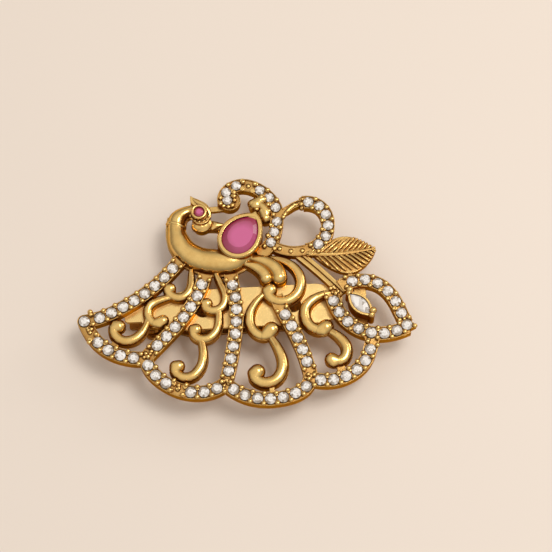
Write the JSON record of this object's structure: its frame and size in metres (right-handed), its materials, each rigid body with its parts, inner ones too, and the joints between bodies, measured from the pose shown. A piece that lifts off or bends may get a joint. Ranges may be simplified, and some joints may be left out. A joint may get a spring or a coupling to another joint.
{
  "type": "saree pin",
  "caption": "Openwork peacock brooch with stone-set spokes, scalloped rim, scrolls and leaf, soldered to a spring clip that grips cloth folds.",
  "frame": {"origin": "middle of the box round the pin, on the surface that its clip lies on", "axes": "+X along the ornament from the scalloped fan's tip to the leaf frame's point, +Z out of the face"},
  "size_m": [0.0552, 0.0394, 0.0084],
  "materials": {
    "gold": "antique gold plating, polished, dark in the recesses",
    "clip_gold": "bright gold plating, smooth",
    "spring_steel": "drawn wire",
    "white_stone": "faceted, clear",
    "ruby": "faceted, deep pink"
  },
  "bodies": {
    "ornament": {"casting": "gold", "clip_pin": "clip_gold", "clip_spring": "spring_steel", "ruby_pear": "ruby", "ruby_eye": "ruby", "marquise_stone": "white_stone", "spoke_1_stones": "white_stone", "spoke_2_stones": "white_stone", "spoke_3_stones": "white_stone", "spoke_4_stones": "white_stone", "rim_1_stones": "white_stone", "rim_2_stones": "white_stone", "rim_3_stones": "white_stone", "rim_4_stones": "white_stone", "frame_lower_stones": "white_stone", "frame_upper_stones": "white_stone", "coil_upper_stones": "white_stone", "coil_lower_stones": "white_stone", "heart_stones": "white_stone"},
    "jaw": {"clip_jaw": "clip_gold"}
  },
  "joints": [
    {"name": "jaw_hinge", "type": "hinge", "parent": "ornament", "child": "jaw", "pos_m": [-0.0159, -0.00329, 0.00225], "axis": [-0.0593, 0.9982, 0], "range_deg": [0, 25], "stiffness_Nm_per_rad": 0.02, "springref_deg": -8.59}
  ]
}
